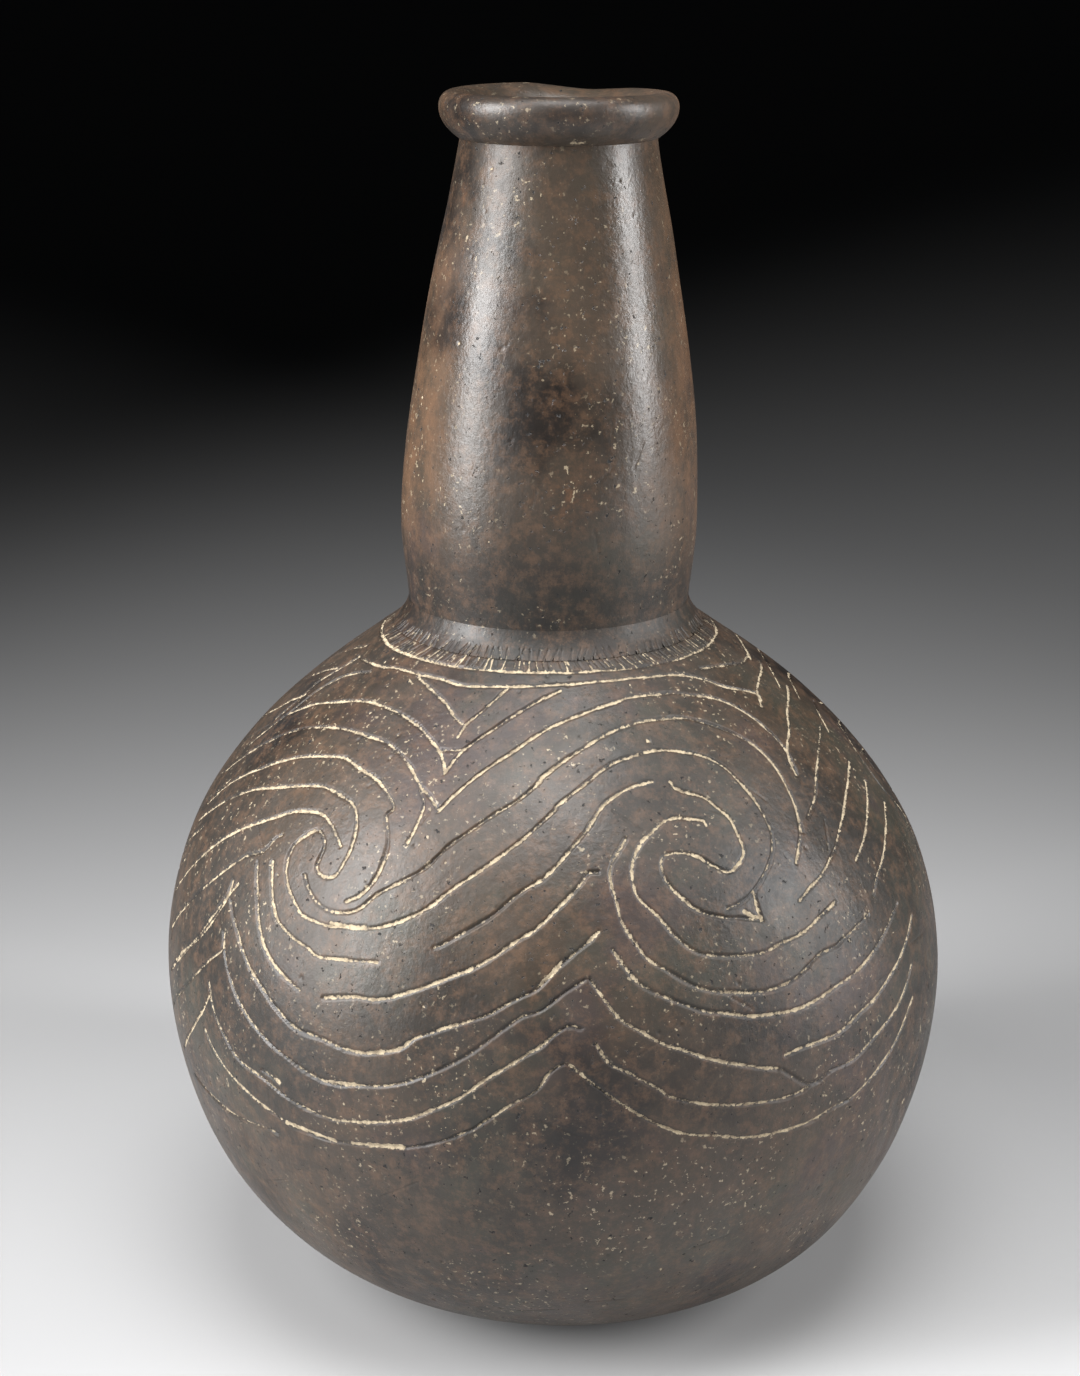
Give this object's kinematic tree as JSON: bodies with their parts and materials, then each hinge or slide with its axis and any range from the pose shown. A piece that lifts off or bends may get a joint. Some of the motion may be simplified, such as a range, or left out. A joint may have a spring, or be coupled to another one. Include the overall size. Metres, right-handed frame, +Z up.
{
  "type": "pottery bottle",
  "caption": "Hand-built round-bodied clay bottle with a long tapering neck, a rolled lip, and engraved scrolls filled with cream pigment.",
  "frame": {"origin": "centre of the bottle's footprint, on the surface it stands on", "axes": "+Z up along the neck, -Y towards the side that the picture shows"},
  "size_m": [0.1654, 0.1654, 0.25],
  "materials": {
    "fired_clay": "burnished, smoke-stained dark grey-brown clay"
  },
  "bodies": {
    "root": {"base_disc": "fired_clay", "body_coil_01": "fired_clay", "body_coil_02": "fired_clay", "body_coil_03": "fired_clay", "body_coil_04": "fired_clay", "body_coil_05": "fired_clay", "body_coil_06": "fired_clay", "body_coil_07": "fired_clay", "body_coil_08": "fired_clay", "body_coil_09": "fired_clay", "body_coil_10": "fired_clay", "body_coil_11": "fired_clay", "neck_joint_coil": "fired_clay", "neck_coil_01": "fired_clay", "neck_coil_02": "fired_clay", "neck_coil_03": "fired_clay", "neck_coil_04": "fired_clay", "neck_coil_05": "fired_clay", "neck_coil_06": "fired_clay", "rim_coil": "fired_clay"}
  },
  "joints": []
}
